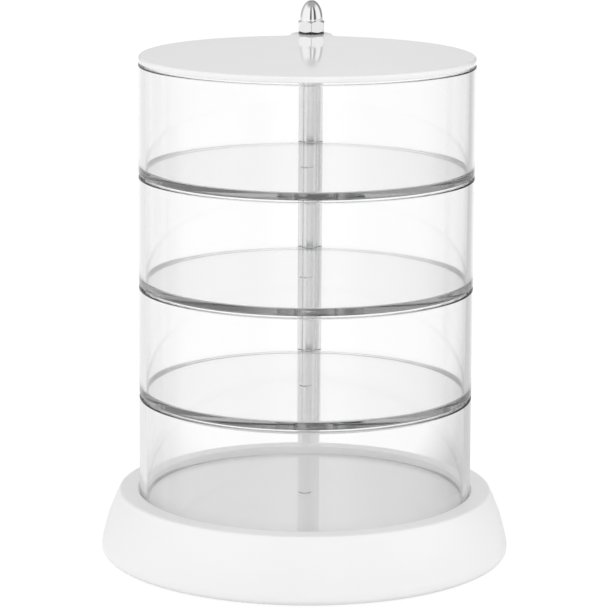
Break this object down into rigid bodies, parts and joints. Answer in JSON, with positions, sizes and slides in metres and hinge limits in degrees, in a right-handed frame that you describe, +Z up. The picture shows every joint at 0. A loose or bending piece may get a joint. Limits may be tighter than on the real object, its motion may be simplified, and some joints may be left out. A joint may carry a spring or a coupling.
{
  "type": "swing-out tray tower",
  "caption": "Tower of clear round trays that swing out about a steel post behind them, with a thin white lid and a flared white base, for small tools and parts.",
  "frame": {"origin": "centre of the level plane that the feet stand on, under the centre of the trays", "axes": "+Z up through the stacked trays, +Y towards the pivot post at the back, +X to the right seen from the front"},
  "size_m": [0.123, 0.1232, 0.162],
  "materials": {
    "white_satin": "satin moulded white plastic",
    "white_gloss": "polished white plastic",
    "clear_plastic": "polished clear plastic",
    "polished_chrome": "mirror polished plating",
    "zinc_steel": "bright zinc plated steel",
    "foot_rubber": "pale soft rubber"
  },
  "bodies": {
    "base": {"base_shell": "white_satin", "base_cover": "white_satin", "cover_screws": "zinc_steel", "foot_1": "foot_rubber", "foot_2": "foot_rubber", "foot_3": "foot_rubber", "foot_4": "foot_rubber", "pivot_rod": "zinc_steel", "rod_nut": "zinc_steel", "bottom_tray": "clear_plastic", "spacer_washer_1": "zinc_steel", "spacer_washer_2": "zinc_steel", "spacer_washer_3": "zinc_steel", "spacer_washer_4": "zinc_steel", "nut_washer": "zinc_steel", "acorn_nut": "polished_chrome"},
    "lower_tier": {"lower_tray": "clear_plastic"},
    "middle_tier": {"middle_tray": "clear_plastic"},
    "upper_tier": {"upper_tray": "clear_plastic"},
    "cover_lid": {"lid": "white_gloss"}
  },
  "joints": [
    {"name": "lower_tray_swing", "type": "hinge", "parent": "base", "child": "lower_tier", "pos_m": [0, 0.055, 0.0663], "axis": [0, 0, 1], "continuous": true},
    {"name": "middle_tray_swing", "type": "hinge", "parent": "base", "child": "middle_tier", "pos_m": [0, 0.055, 0.0993], "axis": [0, 0, 1], "continuous": true},
    {"name": "upper_tray_swing", "type": "hinge", "parent": "base", "child": "upper_tier", "pos_m": [0, 0.055, 0.1323], "axis": [0, 0, 1], "continuous": true},
    {"name": "lid_swing", "type": "hinge", "parent": "base", "child": "cover_lid", "pos_m": [0, 0.055, 0.1503], "axis": [0, 0, 1], "continuous": true}
  ]
}
